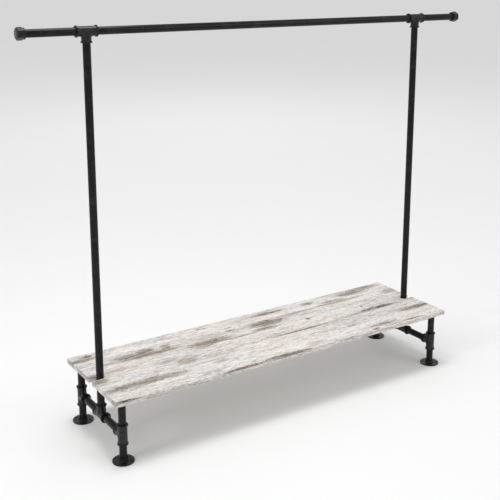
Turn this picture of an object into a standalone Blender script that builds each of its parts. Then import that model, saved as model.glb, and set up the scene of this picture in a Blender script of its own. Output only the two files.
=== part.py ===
"""Standing clothes rack screwed together from iron pipe and malleable-iron fittings, with one low board.

X runs along the rail, Y from the front of the rack to its back, Z up. The origin is on the floor, under
the middle of the rack. Sizes are in metres.
"""

import math

import bmesh
import bpy
from mathutils import Matrix, Vector

# Pipe and how far it is screwed into a fitting.
PIPE_RADIUS = 0.01345
PIPE_BORE_RADIUS = 0.0108
GAP = 0.0003
SOCKET_DEPTH = 0.0150

# Where the pipes run.
UPRIGHT_X = 0.7180
LEG_Y = 0.1720
LEG_FOOT_Z = 0.0040
RAIL_Z = 1.4450
CROSS_Z = 0.1010
RAIL_END_X = 0.9500

# Tee: three socket ends, each with a raised collar.
TEE_REACH = 0.0375
TEE_BODY_RADIUS = 0.0168
TEE_COLLAR_RADIUS = 0.0197
TEE_COLLAR_WIDTH = 0.0055
TEE_CORE_RADIUS = 0.0115

# Hexagon cap: closed end with six flats, round collar at the open end.
CAP_LENGTH = 0.0270
CAP_FLATS = 0.0372
CAP_HEX_LENGTH = 0.0190
CAP_COLLAR_RADIUS = 0.0186
CAP_CHAMFER = 0.0028
CAP_SOCKET_DEPTH = 0.0180

# Floor flange.
FLANGE_RADIUS = 0.0385
FLANGE_THICKNESS = 0.0050
FLANGE_HEIGHT = 0.0140
FLANGE_HUB_RADIUS = 0.0170
FLANGE_FILLET = 0.0030
FLANGE_HOLE_RADIUS = 0.0033
FLANGE_HOLE_CIRCLE = 0.0280
FLANGE_FIRST_HOLE = math.radians(45)

# Board.
BOARD_LENGTH = 1.5100
BOARD_WIDTH = 0.4220
BOARD_THICKNESS = 0.0180
BOARD_TOP_Z = 0.2410
BOARD_EDGE_ROUND = 0.0008
NOTCH_RADIUS = 0.0148
LEG_SOCKET_DEPTH = 0.0100

# Sides of a round piece.
ROUND_SIDES = 20
HOLE_SIDES = 10
CUT_OVERSHOOT = 0.0050
MERGE = 0.00001

BOARD_UNDER_Z = BOARD_TOP_Z - BOARD_THICKNESS
SOCKET_RADIUS = PIPE_RADIUS + GAP
PIPE_END_IN_TEE = TEE_REACH - SOCKET_DEPTH + GAP
ENDS = (("left", -1), ("right", 1))
SIDES = (("front", -1), ("rear", 1))

TO_X = Matrix.Rotation(math.radians(90), 4, "Y")
TO_MINUS_X = Matrix.Rotation(math.radians(-90), 4, "Y")
TO_Y = Matrix.Rotation(math.radians(-90), 4, "X")
TO_MINUS_Y = Matrix.Rotation(math.radians(90), 4, "X")
UPRIGHT = Matrix.Identity(4)


def clear_scene():
    for obj in list(bpy.data.objects):
        bpy.data.objects.remove(obj, do_unlink=True)


def add_collection(name):
    collection = bpy.data.collections.new(name)
    bpy.context.scene.collection.children.link(collection)
    return collection


def make_material(name, colour, roughness, metallic):
    material = bpy.data.materials.new(name)
    material.use_nodes = True
    material.diffuse_color = (*colour, 1.0)
    shader = material.node_tree.nodes["Principled BSDF"]
    shader.inputs["Base Color"].default_value = (*colour, 1.0)
    shader.inputs["Roughness"].default_value = roughness
    shader.inputs["Metallic"].default_value = metallic
    return material


def turned(name, profile, closed, collection, sides=ROUND_SIDES):
    """An object turned round Z from (radius, height) points that run down its outer side."""
    mesh = bpy.data.meshes.new(name)
    points = [(radius, 0.0, height) for radius, height in profile]
    edges = [(i, i + 1) for i in range(len(points) - 1)]
    if closed:
        edges.append((len(points) - 1, 0))
    mesh.from_pydata(points, edges, [])
    obj = bpy.data.objects.new(name, mesh)
    collection.objects.link(obj)
    screw = obj.modifiers.new("Turn", "SCREW")
    screw.axis = "Z"
    screw.angle = math.tau
    screw.steps = sides
    screw.render_steps = sides
    screw.use_merge_vertices = True
    screw.merge_threshold = MERGE
    return obj


def join_or_cut(obj, other, operation):
    boolean = obj.modifiers.new(operation.title() + " " + other.name, "BOOLEAN")
    boolean.operation = operation
    boolean.solver = "EXACT"
    boolean.object = other


def as_cutter(obj):
    obj.hide_render = True
    obj.display_type = "WIRE"
    return obj


def finished_mesh(name, obj, helpers):
    """The evaluated mesh of obj, after which obj and its helpers are removed."""
    bpy.context.view_layer.update()
    graph = bpy.context.evaluated_depsgraph_get()
    mesh = bpy.data.meshes.new_from_object(obj.evaluated_get(graph))
    mesh.name = name
    for used in [obj, *helpers]:
        bpy.data.objects.remove(used, do_unlink=True)
    merge_doubles(mesh)
    mesh.shade_smooth()
    mesh.set_sharp_from_angle(angle=math.radians(30))
    return mesh


def merge_doubles(mesh):
    shape = bmesh.new()
    shape.from_mesh(mesh)
    bmesh.ops.remove_doubles(shape, verts=shape.verts, dist=MERGE)
    bmesh.ops.dissolve_degenerate(shape, edges=shape.edges, dist=MERGE)
    shape.to_mesh(mesh)
    shape.free()


def place(name, mesh, location, turn, material, collection):
    obj = bpy.data.objects.new(name, mesh)
    obj.matrix_world = Matrix.Translation(Vector(location)) @ turn
    if not mesh.materials:
        mesh.materials.append(material)
    obj.material_slots[0].link = "OBJECT"
    obj.material_slots[0].material = material
    collection.objects.link(obj)
    return obj


def pipe_mesh(name, length, collection):
    """A tube along Z, centred on the origin."""
    half = length / 2
    profile = [
        (PIPE_RADIUS, half),
        (PIPE_RADIUS, -half),
        (PIPE_BORE_RADIUS, -half),
        (PIPE_BORE_RADIUS, half),
    ]
    return finished_mesh(name, turned(name, profile, True, collection), [])


def tee_outline(low, high_collar_only):
    """Outer profile of a tee's run, or of its branch, which starts at the centre."""
    back = TEE_REACH - TEE_COLLAR_WIDTH
    top = [
        (0.0, TEE_REACH),
        (TEE_COLLAR_RADIUS, TEE_REACH),
        (TEE_COLLAR_RADIUS, back),
        (TEE_BODY_RADIUS, back),
    ]
    if high_collar_only:
        return top + [(TEE_BODY_RADIUS, low), (0.0, low)]
    return top + [(radius, -height) for radius, height in reversed(top)]


def tee_bore(low, one_end):
    """Socket and core of a tee's run, or of its branch."""
    mouth = TEE_REACH + CUT_OVERSHOOT
    floor = TEE_REACH - SOCKET_DEPTH
    top = [
        (0.0, mouth),
        (SOCKET_RADIUS, mouth),
        (SOCKET_RADIUS, floor),
        (TEE_CORE_RADIUS, floor),
    ]
    if one_end:
        return top + [(TEE_CORE_RADIUS, low), (0.0, low)]
    return top + [(radius, -height) for radius, height in reversed(top)]


def tee_mesh(parts, cutters):
    """A tee with its run along Z and its branch along +X."""
    run = turned("tee_run", tee_outline(0.0, False), False, parts)
    branch = turned("tee_branch", tee_outline(0.0, True), False, cutters)
    run_bore = as_cutter(turned("tee_run_bore", tee_bore(0.0, False), False, cutters))
    branch_bore = as_cutter(turned("tee_branch_bore", tee_bore(0.0, True), False, cutters))
    branch.matrix_world = TO_X
    branch_bore.matrix_world = TO_X
    join_or_cut(run, branch, "UNION")
    join_or_cut(run, run_bore, "DIFFERENCE")
    join_or_cut(run, branch_bore, "DIFFERENCE")
    return finished_mesh("tee", run, [branch, run_bore, branch_bore])


def cap_mesh(parts, cutters):
    """A hexagon cap along Z: closed end at z = 0, open end at z = -CAP_LENGTH, corners at +X and -X."""
    corner = CAP_FLATS / math.sqrt(3)
    hexagon = turned("cap_hexagon", cap_hexagon_outline(corner), False, parts, 6)
    rounding = turned("cap_rounding", cap_rounding_outline(corner), False, cutters)
    collar = turned("cap_collar", cap_collar_outline(), False, cutters)
    socket = as_cutter(turned("cap_socket", cap_socket_outline(), False, cutters))
    join_or_cut(hexagon, rounding, "INTERSECT")
    join_or_cut(hexagon, collar, "UNION")
    join_or_cut(hexagon, socket, "DIFFERENCE")
    return finished_mesh("hexagon_cap", hexagon, [rounding, collar, socket])


def cap_hexagon_outline(corner):
    return [(0.0, 0.0), (corner, 0.0), (corner, -CAP_HEX_LENGTH), (0.0, -CAP_HEX_LENGTH)]


def cap_rounding_outline(corner):
    """Chamfers the corners of the hexagon at both ends."""
    wide = corner + CAP_CHAMFER
    return [
        (0.0, CAP_CHAMFER),
        (corner - 2 * CAP_CHAMFER, CAP_CHAMFER / 2),
        (wide, -2 * CAP_CHAMFER),
        (wide, CAP_CHAMFER - CAP_HEX_LENGTH),
        (CAP_COLLAR_RADIUS - CAP_CHAMFER / 2, -CAP_HEX_LENGTH - CAP_CHAMFER / 2),
        (0.0, -CAP_HEX_LENGTH - CAP_CHAMFER / 2),
    ]


def cap_collar_outline():
    start = CAP_CHAMFER - CAP_HEX_LENGTH
    return [
        (0.0, start),
        (CAP_COLLAR_RADIUS, start),
        (CAP_COLLAR_RADIUS, -CAP_LENGTH),
        (0.0, -CAP_LENGTH),
    ]


def cap_socket_outline():
    return [
        (0.0, CAP_SOCKET_DEPTH - CAP_LENGTH),
        (SOCKET_RADIUS, CAP_SOCKET_DEPTH - CAP_LENGTH),
        (SOCKET_RADIUS, -CAP_LENGTH - CUT_OVERSHOOT),
        (0.0, -CAP_LENGTH - CUT_OVERSHOOT),
    ]


def flange_mesh(parts, cutters):
    """A floor flange standing on z = 0, with a socket right through it and four screw holes."""
    outline = [
        (FLANGE_HUB_RADIUS, FLANGE_HEIGHT),
        (FLANGE_HUB_RADIUS, FLANGE_THICKNESS + FLANGE_FILLET),
        (FLANGE_HUB_RADIUS + FLANGE_FILLET, FLANGE_THICKNESS),
        (FLANGE_RADIUS, FLANGE_THICKNESS),
        (FLANGE_RADIUS, 0.0),
        (SOCKET_RADIUS, 0.0),
        (SOCKET_RADIUS, FLANGE_HEIGHT),
    ]
    flange = turned("flange_body", outline, True, parts)
    holes = [flange_hole(index, cutters) for index in range(4)]
    for hole in holes:
        join_or_cut(flange, hole, "DIFFERENCE")
    return finished_mesh("floor_flange", flange, holes)


def flange_hole(index, cutters):
    top = FLANGE_THICKNESS + CUT_OVERSHOOT
    outline = [
        (0.0, top),
        (FLANGE_HOLE_RADIUS, top),
        (FLANGE_HOLE_RADIUS, -CUT_OVERSHOOT),
        (0.0, -CUT_OVERSHOOT),
    ]
    hole = turned(f"flange_hole_{index}", outline, False, cutters, HOLE_SIDES)
    angle = FLANGE_FIRST_HOLE + index * math.pi / 2
    hole.location = (FLANGE_HOLE_CIRCLE * math.cos(angle), FLANGE_HOLE_CIRCLE * math.sin(angle), 0.0)
    return as_cutter(hole)


def add_box(name, size, centre, collection):
    mesh = bpy.data.meshes.new(name)
    shape = bmesh.new()
    bmesh.ops.create_cube(shape, size=1.0)
    bmesh.ops.scale(shape, vec=Vector(size), verts=shape.verts)
    shape.to_mesh(mesh)
    shape.free()
    obj = bpy.data.objects.new(name, mesh)
    obj.location = centre
    collection.objects.link(obj)
    return obj


def notch_cutter(name, sign, cutters):
    """A slot from the end of the board to the upright, with a round inner end."""
    reach = BOARD_LENGTH / 2 + CUT_OVERSHOOT - UPRIGHT_X
    height = BOARD_THICKNESS + 2 * CUT_OVERSHOOT
    mesh = bpy.data.meshes.new(name)
    shape = bmesh.new()
    corners = [(reach, -NOTCH_RADIUS), (reach, NOTCH_RADIUS)]
    for step in range(ROUND_SIDES // 2 + 1):
        angle = math.pi / 2 + step * math.tau / ROUND_SIDES
        corners.append((NOTCH_RADIUS * math.cos(angle), NOTCH_RADIUS * math.sin(angle)))
    outline = shape.faces.new([shape.verts.new((x, y, 0.0)) for x, y in corners])
    raised = bmesh.ops.extrude_face_region(shape, geom=[outline])["geom"]
    top = [item for item in raised if isinstance(item, bmesh.types.BMVert)]
    bmesh.ops.translate(shape, vec=(0.0, 0.0, height), verts=top)
    bmesh.ops.rotate(
        shape,
        cent=(0.0, 0.0, 0.0),
        matrix=Matrix.Rotation(0.0 if sign > 0 else math.pi, 3, "Z"),
        verts=shape.verts,
    )
    bmesh.ops.recalc_face_normals(shape, faces=shape.faces)
    shape.to_mesh(mesh)
    shape.free()
    cutter = bpy.data.objects.new(name, mesh)
    cutter.location = (sign * UPRIGHT_X, 0.0, BOARD_UNDER_Z - CUT_OVERSHOOT)
    cutters.objects.link(cutter)
    return as_cutter(cutter)


def leg_socket_cutter(name, x, y, cutters):
    """A blind round socket in the underside of the board, for the top of a leg."""
    outline = [
        (0.0, LEG_SOCKET_DEPTH),
        (SOCKET_RADIUS, LEG_SOCKET_DEPTH),
        (SOCKET_RADIUS, -CUT_OVERSHOOT),
        (0.0, -CUT_OVERSHOOT),
    ]
    socket = turned(name, outline, False, cutters)
    socket.location = (x, y, BOARD_UNDER_Z)
    return as_cutter(socket)


def add_board(material, parts, cutters):
    size = (BOARD_LENGTH, BOARD_WIDTH, BOARD_THICKNESS)
    centre = (0.0, 0.0, BOARD_TOP_Z - BOARD_THICKNESS / 2)
    board = add_box("shelf_board", size, centre, parts)
    bevel = board.modifiers.new("Eased edges", "BEVEL")
    bevel.width = BOARD_EDGE_ROUND
    bevel.segments = 1
    for end, x_sign in ENDS:
        notch = notch_cutter(f"notch_{end}", x_sign, cutters)
        join_or_cut(board, notch, "DIFFERENCE")
        for side, y_sign in SIDES:
            name = f"leg_socket_{side}_{end}"
            socket = leg_socket_cutter(name, x_sign * UPRIGHT_X, y_sign * LEG_Y, cutters)
            join_or_cut(board, socket, "DIFFERENCE")
    board.data.materials.append(material)


def add_pipe(name, low, high, turn, fixed, material, collection):
    """A pipe from low to high along the axis that turn gives it, through the point fixed."""
    mesh = pipe_mesh(name, high - low, collection)
    direction = turn.to_3x3() @ Vector((0.0, 0.0, 1.0))
    middle = Vector(fixed) + direction * (low + high) / 2
    return place(name, mesh, middle, turn, material, collection)


def add_rail(tee, cap, finishes, parts):
    inner = UPRIGHT_X - PIPE_END_IN_TEE
    add_pipe("rail_centre_pipe", -inner, inner, TO_X, (0.0, 0.0, RAIL_Z), finishes["pipe"], parts)
    for end, sign in ENDS:
        along = TO_X if sign > 0 else TO_MINUS_X
        low = UPRIGHT_X + PIPE_END_IN_TEE
        high = RAIL_END_X - CAP_LENGTH + CAP_SOCKET_DEPTH - GAP
        add_pipe(f"rail_nipple_{end}", low, high, along, (0.0, 0.0, RAIL_Z), finishes["pipe"], parts)
        at_tee = (sign * UPRIGHT_X, 0.0, RAIL_Z)
        at_end = (sign * RAIL_END_X, 0.0, RAIL_Z)
        place(f"rail_tee_{end}", tee, at_tee, branch_down(), finishes["fitting"], parts)
        place(f"rail_cap_{end}", cap, at_end, along, finishes["fitting"], parts)


def branch_down():
    """Run along X, branch along -Z."""
    return TO_X


def branch_up():
    """Run along Y, branch along +Z."""
    return TO_Y @ Matrix.Rotation(math.radians(-90), 4, "Z")


def branch_to_centre(y_sign):
    """Run along Z, branch along Y towards the middle of the rack."""
    return Matrix.Rotation(-y_sign * math.pi / 2, 4, "Z")


def add_end_frame(end, sign, tee, flange, finishes, parts):
    foot = (sign * UPRIGHT_X, 0.0, 0.0)
    low = CROSS_Z + PIPE_END_IN_TEE
    high = RAIL_Z - PIPE_END_IN_TEE
    add_pipe(f"upright_{end}", low, high, UPRIGHT, foot, finishes["pipe"], parts)
    centre = (sign * UPRIGHT_X, 0.0, CROSS_Z)
    place(f"cross_tee_{end}", tee, centre, branch_up(), finishes["fitting"], parts)
    for side, y_sign in SIDES:
        add_cross_nipple(f"cross_nipple_{side}_{end}", y_sign, centre, finishes, parts)
        add_leg(f"{side}_{end}", sign, y_sign, tee, flange, finishes, parts)


def add_cross_nipple(name, y_sign, centre, finishes, parts):
    along = TO_Y if y_sign > 0 else TO_MINUS_Y
    low = PIPE_END_IN_TEE
    high = LEG_Y - PIPE_END_IN_TEE
    add_pipe(name, low, high, along, centre, finishes["pipe"], parts)


def add_leg(place_name, sign, y_sign, tee, flange, finishes, parts):
    foot = Vector((sign * UPRIGHT_X, y_sign * LEG_Y, 0.0))
    at_tee = foot + Vector((0.0, 0.0, CROSS_Z))
    lower_end = CROSS_Z - PIPE_END_IN_TEE
    upper_start = CROSS_Z + PIPE_END_IN_TEE
    upper_end = BOARD_UNDER_Z + LEG_SOCKET_DEPTH - GAP
    pipe = finishes["pipe"]
    add_pipe(f"leg_lower_nipple_{place_name}", LEG_FOOT_Z, lower_end, UPRIGHT, foot, pipe, parts)
    add_pipe(f"leg_upper_nipple_{place_name}", upper_start, upper_end, UPRIGHT, foot, pipe, parts)
    place(f"leg_tee_{place_name}", tee, at_tee, branch_to_centre(y_sign), finishes["fitting"], parts)
    place(f"floor_flange_{place_name}", flange, foot, UPRIGHT, finishes["flange"], parts)


def main():
    clear_scene()
    parts = add_collection("pipe_clothes_rack")
    cutters = add_collection("cutters")
    cutters.hide_render = True
    finishes = {
        "pipe": make_material("pipe_black", (0.028, 0.028, 0.030), 0.42, 0.55),
        "fitting": make_material("fitting_black", (0.022, 0.022, 0.023), 0.55, 0.50),
        "flange": make_material("flange_black", (0.020, 0.020, 0.021), 0.60, 0.50),
        "board": make_material("board_white_wash", (0.72, 0.70, 0.67), 0.60, 0.0),
    }
    tee = tee_mesh(parts, cutters)
    cap = cap_mesh(parts, cutters)
    flange = flange_mesh(parts, cutters)
    add_rail(tee, cap, finishes, parts)
    for end, sign in ENDS:
        add_end_frame(end, sign, tee, flange, finishes, parts)
    add_board(finishes["board"], parts, cutters)


main()
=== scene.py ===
"""Finished surfaces of a standing clothes rack: black iron pipe, malleable fittings, one worn white board.

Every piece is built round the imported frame, in metres, X along the rail, Y to the back, Z up.
"""

import math
from functools import partial

import bmesh
import bpy
import numpy as np
from bpy.props import FloatProperty, FloatVectorProperty, IntProperty, PointerProperty
from mathutils import Matrix, Vector, noise


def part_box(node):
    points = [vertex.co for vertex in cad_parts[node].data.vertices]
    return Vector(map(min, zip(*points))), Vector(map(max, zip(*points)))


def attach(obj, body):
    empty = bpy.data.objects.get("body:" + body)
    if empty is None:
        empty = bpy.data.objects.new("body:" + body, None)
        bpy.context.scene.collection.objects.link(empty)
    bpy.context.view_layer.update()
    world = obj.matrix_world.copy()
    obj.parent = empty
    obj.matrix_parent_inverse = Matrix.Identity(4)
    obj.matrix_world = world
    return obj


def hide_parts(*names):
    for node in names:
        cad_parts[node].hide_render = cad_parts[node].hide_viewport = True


bl_info = {
    "name": "Pipe clothes rack",
    "version": (1, 0, 0),
    "blender": (4, 5, 0),
    "location": "3D View > Sidebar > Rack",
    "description": "Builds the pipes, fittings, board and studio of a pipe clothes rack",
    "category": "Object",
}

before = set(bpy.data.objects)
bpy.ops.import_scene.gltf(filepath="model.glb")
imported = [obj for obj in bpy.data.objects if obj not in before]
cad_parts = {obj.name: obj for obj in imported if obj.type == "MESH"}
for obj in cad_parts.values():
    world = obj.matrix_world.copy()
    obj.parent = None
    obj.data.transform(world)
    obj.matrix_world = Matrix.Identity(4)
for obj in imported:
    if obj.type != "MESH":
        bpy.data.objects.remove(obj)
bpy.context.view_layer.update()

ENDS = ("left", "right")
SIDES = ("front", "rear")
CORNERS = [f"{side}_{end}" for end in ENDS for side in SIDES]
NIPPLES = ("cross_nipple", "leg_upper_nipple", "leg_lower_nipple")
PIPES = ["rail_centre_pipe"]
PIPES += [f"{name}_{end}" for name in ("rail_nipple", "upright") for end in ENDS]
PIPES += [f"{name}_{corner}" for name in NIPPLES for corner in CORNERS]
TEES = [f"{name}_{end}" for name in ("rail_tee", "cross_tee") for end in ENDS]
TEES += [f"leg_tee_{corner}" for corner in CORNERS]
CAPS = [f"rail_cap_{end}" for end in ENDS]
FLANGES = [f"floor_flange_{corner}" for corner in CORNERS]
BOARD = "shelf_board"

# How far a pipe is screwed into a tee, a cap and a floor flange.
IN_TEE = 0.0147
IN_CAP = 0.0177
IN_FLANGE = 0.0100


# ---------------- settings


class PipeSettings(bpy.types.PropertyGroup):
    """Sizes and colour of the screwed pipes."""

    pitch: FloatProperty(
        name="Thread pitch", description="Advance of one turn of thread", default=0.001814, unit="LENGTH"
    )
    depth: FloatProperty(
        name="Thread depth", description="Depth of the thread", default=0.0009, unit="LENGTH"
    )
    shown: FloatProperty(
        name="Thread shown", description="Thread left outside a fitting", default=0.0034, unit="LENGTH"
    )
    sides: IntProperty(name="Sides", description="Faces round a pipe", default=48, min=12)
    colour: FloatVectorProperty(
        name="Colour", description="Lacquered pipe", subtype="COLOR", default=(0.0045, 0.0045, 0.0048)
    )
    scuff: FloatVectorProperty(
        name="Scuff colour", description="Rubbed lacquer", subtype="COLOR", default=(0.036, 0.035, 0.034)
    )


class FittingSettings(bpy.types.PropertyGroup):
    """Shapes and colour of the cast tees, caps and floor flanges."""

    blend: FloatProperty(
        name="Branch blend", description="Fillet between run and branch", default=0.0060, unit="LENGTH"
    )
    bead_round: FloatProperty(
        name="Bead rounding", description="Radius on the collars", default=0.0014, unit="LENGTH"
    )
    sides: IntProperty(name="Sides", description="Faces round a fitting", default=72, min=24)
    colour: FloatVectorProperty(
        name="Colour", description="Blackened iron", subtype="COLOR", default=(0.0060, 0.0060, 0.0063)
    )
    scuff: FloatVectorProperty(
        name="Scuff colour", description="Rubbed iron", subtype="COLOR", default=(0.046, 0.045, 0.044)
    )


class BoardSettings(bpy.types.PropertyGroup):
    """Edges and colours of the white-washed board."""

    edge: FloatProperty(
        name="Edge rounding", description="Eased edges of the board", default=0.0014, unit="LENGTH"
    )
    chip: FloatProperty(
        name="Chip depth", description="Deepest wear on the long edges", default=0.0011, unit="LENGTH"
    )
    white: FloatVectorProperty(
        name="White", description="White wash", subtype="COLOR", default=(0.795, 0.774, 0.741)
    )
    grey: FloatVectorProperty(
        name="Grey", description="Thin wash over grain", subtype="COLOR", default=(0.300, 0.283, 0.262)
    )
    brown: FloatVectorProperty(
        name="Brown", description="Bare worn wood", subtype="COLOR", default=(0.195, 0.142, 0.090)
    )
    crack: FloatVectorProperty(
        name="Crack", description="Dark cracks and knots", subtype="COLOR", default=(0.060, 0.045, 0.035)
    )


class StageSettings(bpy.types.PropertyGroup):
    """Floor and lights of the studio."""

    floor: FloatVectorProperty(
        name="Floor", description="Floor and backdrop", subtype="COLOR", default=(0.86, 0.86, 0.86)
    )
    sky: FloatProperty(name="Sky", description="Even light from all round", default=0.66)
    sun: FloatProperty(name="Overhead light", description="Broad light from above", default=0.42)
    high: FloatProperty(name="High softbox", description="Wide pool of light", default=145.0)
    key: FloatProperty(name="Key softbox", description="Pool round the rack", default=10.0)
    side: FloatProperty(name="Side softbox", description="Upright streaks of gloss", default=30.0)
    front: FloatProperty(name="Front softbox", description="Gloss along the rail", default=32.0)
    back: FloatProperty(name="Back light", description="Lifts the floor behind", default=13.0)


# ---------------- node helpers


SOCKET_TYPES = {float: "NodeSocketFloat", int: "NodeSocketInt", tuple: "NodeSocketColor"}


def feed(tree, sockets, values):
    """Links each input socket to the socket given for it, or sets it to the value given for it."""
    for key, value in values.items():
        if isinstance(value, bpy.types.NodeSocket):
            tree.links.new(value, sockets[key])
        else:
            sockets[key].default_value = value


def add_node(tree, kind, inputs, **settings):
    """The outputs of a new node with these inputs and settings."""
    node = tree.nodes.new(kind)
    for name, value in settings.items():
        setattr(node, name, value)
    feed(tree, node.inputs, inputs)
    return node.outputs


def maths(operation, tree, first, second=0.0, third=0.0, clamp=False):
    """The result of a Math node. It serves shader trees and geometry trees alike."""
    inputs = {0: first, 1: second, 2: third}
    return add_node(tree, "ShaderNodeMath", inputs, operation=operation, use_clamp=clamp)[0]


plus = partial(maths, "ADD")
minus = partial(maths, "SUBTRACT")
times = partial(maths, "MULTIPLY")
over = partial(maths, "DIVIDE")
larger = partial(maths, "MAXIMUM")
times_plus = partial(maths, "MULTIPLY_ADD")


def blend_values(tree, share, low, high):
    return times_plus(tree, share, minus(tree, high, low), low)


def weighted_sum(tree, values, weights, start=0.0):
    """Start plus each named value times its weight."""
    total = start
    for name, weight in weights.items():
        total = times_plus(tree, values[name], weight, total)
    return total


def axes(tree, place):
    """The X, Y and Z of a vector."""
    return add_node(tree, "ShaderNodeSeparateXYZ", {0: place})


def joined_axes(tree, x, y, z=0.0):
    return add_node(tree, "ShaderNodeCombineXYZ", {"X": x, "Y": y, "Z": z})[0]


def point_position(tree):
    """Position of each point of a geometry."""
    return tree.nodes.new("GeometryNodeInputPosition").outputs[0]


def object_place(tree):
    """Object coordinates of each point of a surface."""
    return tree.nodes.new("ShaderNodeTexCoord").outputs["Object"]


def new_group(name, kind, inputs, outputs):
    """A node tree with named sockets, and the sockets inside it. An input with no default is a material."""
    tree = bpy.data.node_groups.new(name, kind)
    for label, default in inputs.items():
        socket_type = SOCKET_TYPES.get(type(default), "NodeSocketMaterial")
        socket = tree.interface.new_socket(label, in_out="INPUT", socket_type=socket_type)
        if default is not None:
            socket.default_value = default
    for label, socket_type in outputs.items():
        tree.interface.new_socket(label, in_out="OUTPUT", socket_type=socket_type)
    return tree, tree.nodes.new("NodeGroupInput").outputs, tree.nodes.new("NodeGroupOutput").inputs


def shared(name, build):
    """The node group of this name, built the first time it is asked for."""
    return bpy.data.node_groups.get(name) or build(name)


def use_group(tree, group, inputs):
    kind = "GeometryNodeGroup" if group.bl_idname == "GeometryNodeTree" else "ShaderNodeGroup"
    return add_node(tree, kind, inputs, node_tree=group)


# ---------------- object helpers


# A point of an outline nearer to the axis than this lies on it.
ON_AXIS = 1e-7


def add_object(name, data):
    obj = bpy.data.objects.new(name, data)
    bpy.context.scene.collection.objects.link(obj)
    return obj


def evaluated_mesh(obj):
    bpy.context.view_layer.update()
    graph = bpy.context.evaluated_depsgraph_get()
    return bpy.data.meshes.new_from_object(obj.evaluated_get(graph))


def made_by_nodes(name, group, values):
    """The plain mesh that a geometry tree makes with these input values."""
    obj = add_object(name, bpy.data.meshes.new(name))
    modifier = obj.modifiers.new("Build", "NODES")
    modifier.node_group = group
    sockets = {item.name: item.identifier for item in group.interface.items_tree}
    for label, value in values.items():
        modifier[sockets[label]] = value
    mesh = evaluated_mesh(obj)
    bpy.data.objects.remove(obj)
    mesh.name = name
    return mesh


def combined(mesh, others, operation):
    """The mesh with each of the others joined to it or cut from it."""
    base = add_object("combined", mesh)
    tools = [add_object("tool", other) for other in others]
    for tool in tools:
        boolean = base.modifiers.new("Combine", "BOOLEAN")
        boolean.operation = operation
        boolean.solver = "EXACT"
        boolean.object = tool
    result = evaluated_mesh(base)
    for used in [base, *tools]:
        bpy.data.objects.remove(used)
    return result


def mark_collars(mesh, share):
    """Stores how far each point is on a collar, where the fitting is drawn darker and smoother."""
    attribute = mesh.attributes.new("collar", "FLOAT", "POINT")
    attribute.data.foreach_set("value", np.asarray(share, np.float32))


def smooth_round(mesh, sharp_degrees=35):
    mesh.shade_smooth()
    mesh.set_sharp_from_angle(angle=math.radians(sharp_degrees))


def finish_piece(name, mesh, node):
    """Shows the mesh, which holds its material, in place of the CAD node, on the rack's one body."""
    piece = add_object(name, mesh)
    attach(piece, "root")
    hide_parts(node)


def turn_to(direction, side):
    """Rotation that carries +Z to direction and +X to side."""
    z_axis = Vector(direction).normalized()
    x_axis = Vector(side).normalized()
    return Matrix((x_axis, z_axis.cross(x_axis), z_axis)).transposed().to_4x4()


def arc(centre_r, centre_z, radius, start_degrees, end_degrees, count=5):
    """Points of a round stretch of a turned outline."""
    angles = np.radians(np.linspace(start_degrees, end_degrees, count))
    return [(centre_r + radius * math.cos(a), centre_z + radius * math.sin(a)) for a in angles]


def mirrored_down(outline):
    """An outline that ends at height 0, continued by its mirror image below."""
    return outline + [(r, -z) for r, z in reversed(outline[:-1])]


def join_rings(shape, rings):
    """Faces from each ring of vertices to the next."""
    for upper, lower in zip(rings, rings[1:]):
        for corners in zip(upper, lower, lower[1:] + lower[:1], upper[1:] + upper[:1]):
            shape.faces.new(list(dict.fromkeys(corners)))


def turned_mesh(name, outline, sides, closed=False):
    """A solid turned round Z from (radius, height) points that run down its outer side."""
    shape = bmesh.new()
    turns = [math.tau * index / sides for index in range(sides)]
    rings = []
    for radius, height in outline:
        if radius < ON_AXIS:
            rings.append([shape.verts.new((0.0, 0.0, height))] * sides)
        else:
            points = [(radius * math.cos(t), radius * math.sin(t), height) for t in turns]
            rings.append([shape.verts.new(point) for point in points])
    join_rings(shape, rings + rings[:1] if closed else rings)
    return mesh_from(shape, name)


def mesh_from(shape, name):
    mesh = bpy.data.meshes.new(name)
    shape.to_mesh(mesh)
    shape.free()
    return mesh


def coordinates(mesh):
    points = np.empty(len(mesh.vertices) * 3, np.float32)
    mesh.vertices.foreach_get("co", points)
    return points.reshape(-1, 3).astype(float)


def set_coordinates(mesh, points):
    mesh.vertices.foreach_set("co", points.astype(np.float32).ravel())
    mesh.update()


# ---------------- geometry trees


# How far a cutter stands out of the flange or board it cuts.
OVERSHOOT = 0.0040

# The shortest stretch of fine rings at a pipe's end, and the turns over which its thread fades out.
LEAST_THREAD_ZONE = 0.0040
RUN_OUT_TURNS = 2.0
WELD_DISTANCE = 0.000002
WALL_INPUTS = ("Start radius", "Start height", "End radius", "End height", "Rings", "Sides")


def wall_ring_tree(name):
    """Geometry group: a wall turned round Z, from one radius and height to another."""
    inputs = dict(zip(WALL_INPUTS, (0.01, 0.1, 0.01, 0.0, 1, 48)))
    tree, given, result = new_group(name, "GeometryNodeTree", inputs, {"Wall": "NodeSocketGeometry"})
    counts = {"Vertices X": plus(tree, given["Rings"], 1), "Vertices Y": plus(tree, given["Sides"], 1)}
    grid = add_node(tree, "GeometryNodeMeshGrid", {"Size X": 1.0, "Size Y": 1.0, **counts})
    along, around, _ = axes(tree, point_position(tree))
    share = plus(tree, along, 0.5)
    angle = times(tree, plus(tree, around, 0.5), math.tau)
    radius = blend_values(tree, share, given["Start radius"], given["End radius"])
    height = blend_values(tree, share, given["Start height"], given["End height"])
    x = times(tree, radius, maths("COSINE", tree, angle))
    y = times(tree, radius, maths("SINE", tree, angle))
    inputs = {"Geometry": grid[0], "Position": joined_axes(tree, x, y, height)}
    moved = add_node(tree, "GeometryNodeSetPosition", inputs)
    feed(tree, result, {"Wall": moved[0]})
    return tree


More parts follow.
